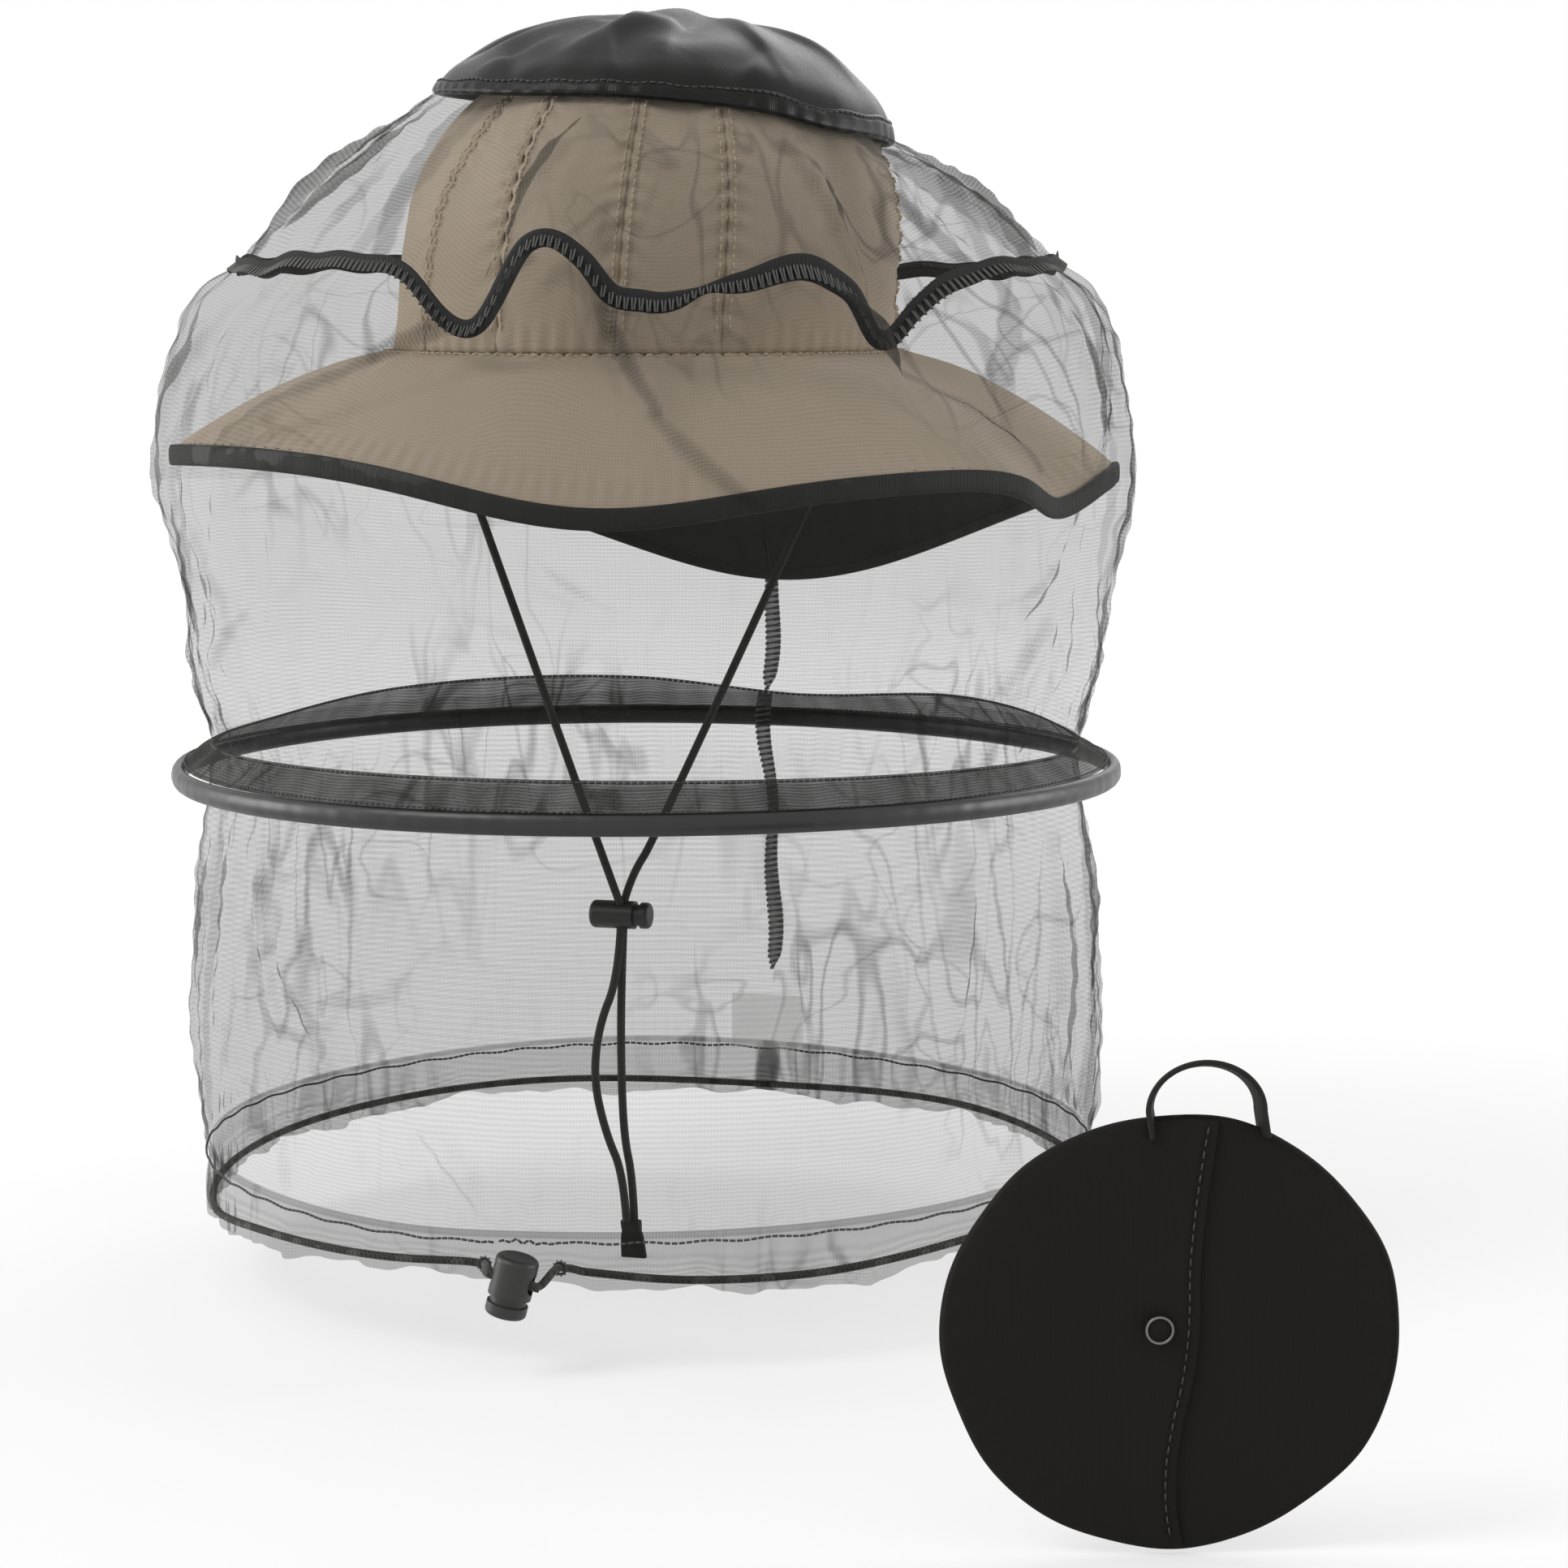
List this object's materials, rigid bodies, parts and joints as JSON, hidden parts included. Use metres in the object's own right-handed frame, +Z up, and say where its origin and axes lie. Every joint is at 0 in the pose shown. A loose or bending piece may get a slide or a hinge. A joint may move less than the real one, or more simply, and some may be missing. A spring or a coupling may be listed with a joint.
{
  "type": "beekeeping veil",
  "caption": "Beekeeping veil: fine net over a brimmed sun hat, with a spring ring, a drawcord hem, a chin cord and a round stowage pouch.",
  "frame": {"origin": "centre of the head opening, at the seam between crown and brim", "axes": "+Z up, front towards -Y, +X to the right seen from the front"},
  "size_m": [0.4851, 0.4884, 0.4497],
  "materials": {
    "hat_cloth": "plain-woven tan polyester, matt",
    "sweatband_tape": "brushed black tape",
    "brim_stiffener": "white non-woven stiffener",
    "brim_lining": "near-black woven lining",
    "brim_binding": "black grosgrain binding",
    "patch_satin": "black satin-faced nylon",
    "net": "fine dark polyester net",
    "overlock_thread": "black overlock stitches",
    "casing_tape": "black satin tape",
    "spring_steel": "blued flat spring steel",
    "thread": "black sewing thread",
    "cord": "black braided cord",
    "lock_plastic": "fine-grained black moulding",
    "label_cloth": "white satin label, blank",
    "pouch_cloth": "black ripstop",
    "webbing": "black narrow webbing",
    "snap_metal": "black press stud"
  },
  "bodies": {
    "hat": {"hat_crown_front_panel": "hat_cloth", "hat_crown_front_right_panel": "hat_cloth", "hat_crown_side_right_panel": "hat_cloth", "hat_crown_back_right_panel": "hat_cloth", "hat_crown_back_left_panel": "hat_cloth", "hat_crown_side_left_panel": "hat_cloth", "hat_crown_front_left_panel": "hat_cloth", "hat_sweatband": "sweatband_tape", "hat_brim_top": "hat_cloth", "hat_brim_stiffener": "brim_stiffener", "hat_brim_lining": "brim_lining", "hat_brim_binding": "brim_binding", "chin_cord_anchor_left": "webbing", "chin_cord_anchor_right": "webbing", "chin_cord_left_leg": "cord", "chin_cord_right_leg": "cord", "chin_cord_left_tail": "cord", "chin_cord_right_tail": "cord", "chin_cord_end_tab": "webbing", "veil_crown_patch": "patch_satin", "veil_crown_patch_hem": "patch_satin", "veil_dome_net": "net", "veil_shoulder_seam": "overlock_thread", "veil_upper_net": "net", "veil_back_seam_upper": "overlock_thread"},
    "ring": {"ring_casing_tape": "casing_tape", "spring_ring": "spring_steel", "ring_joint_sleeve": "spring_steel", "ring_flange_net": "net", "ring_stitching": "thread", "veil_lower_net": "net", "veil_back_seam_lower": "overlock_thread"},
    "hem": {"care_label": "label_cloth", "hem_casing": "net", "hem_eyelets": "thread", "hem_stitching": "thread", "hem_drawcord": "cord"},
    "hem_lock": {"hem_lock_body": "lock_plastic", "hem_lock_spring": "spring_steel"},
    "hem_button": {"hem_lock_plunger": "lock_plastic"},
    "chin_lock": {"chin_lock_body": "lock_plastic", "chin_lock_spring": "spring_steel"},
    "chin_button": {"chin_lock_plunger": "lock_plastic"},
    "pouch": {"pouch_front_left_panel": "pouch_cloth", "pouch_front_right_panel": "pouch_cloth", "pouch_back_panel": "pouch_cloth", "pouch_edge_binding": "pouch_cloth", "pouch_handle": "webbing", "pouch_snap_cap": "snap_metal", "pouch_snap_socket": "snap_metal"}
  },
  "joints": [
    {"name": "ring_lift", "type": "slide", "parent": "hat", "child": "ring", "axis": [0, 0, 1], "range_m": [0, 0.03], "deforming": ["veil_upper_net", "veil_back_seam_upper"]},
    {"name": "hem_lift", "type": "slide", "parent": "ring", "child": "hem", "axis": [0, 0, 1], "range_m": [0, 0.1], "deforming": ["veil_lower_net", "veil_back_seam_lower"]},
    {"name": "hem_lock_swing", "type": "hinge", "parent": "hem", "child": "hem_lock", "pos_m": [0.00901, -0.17196, -0.299], "axis": [0.969, 0.0508, -0.2419], "range_deg": [-60, 15]},
    {"name": "hem_lock_button", "type": "slide", "parent": "hem_lock", "child": "hem_button", "axis": [0.2416, 0.0127, 0.9703], "range_m": [0, 0.0022], "stiffness_N_per_m": 500, "springref_m": -0.004, "deforming": ["hem_lock_spring"]},
    {"name": "chin_lock_slide", "type": "slide", "parent": "hat", "child": "chin_lock", "axis": [0, 0, 1], "range_m": [-0.03, 0.03], "deforming": ["chin_cord_left_leg", "chin_cord_right_leg", "chin_cord_left_tail", "chin_cord_right_tail"]},
    {"name": "chin_lock_button", "type": "slide", "parent": "chin_lock", "child": "chin_button", "axis": [-1, 0, 0], "range_m": [0, 0.0022], "stiffness_N_per_m": 500, "springref_m": -0.004, "deforming": ["chin_lock_spring"]},
    {"name": "pouch_lift", "type": "slide", "parent": "hat", "child": "pouch", "axis": [0, 0, 1], "range_m": [0, 0.15]}
  ]
}
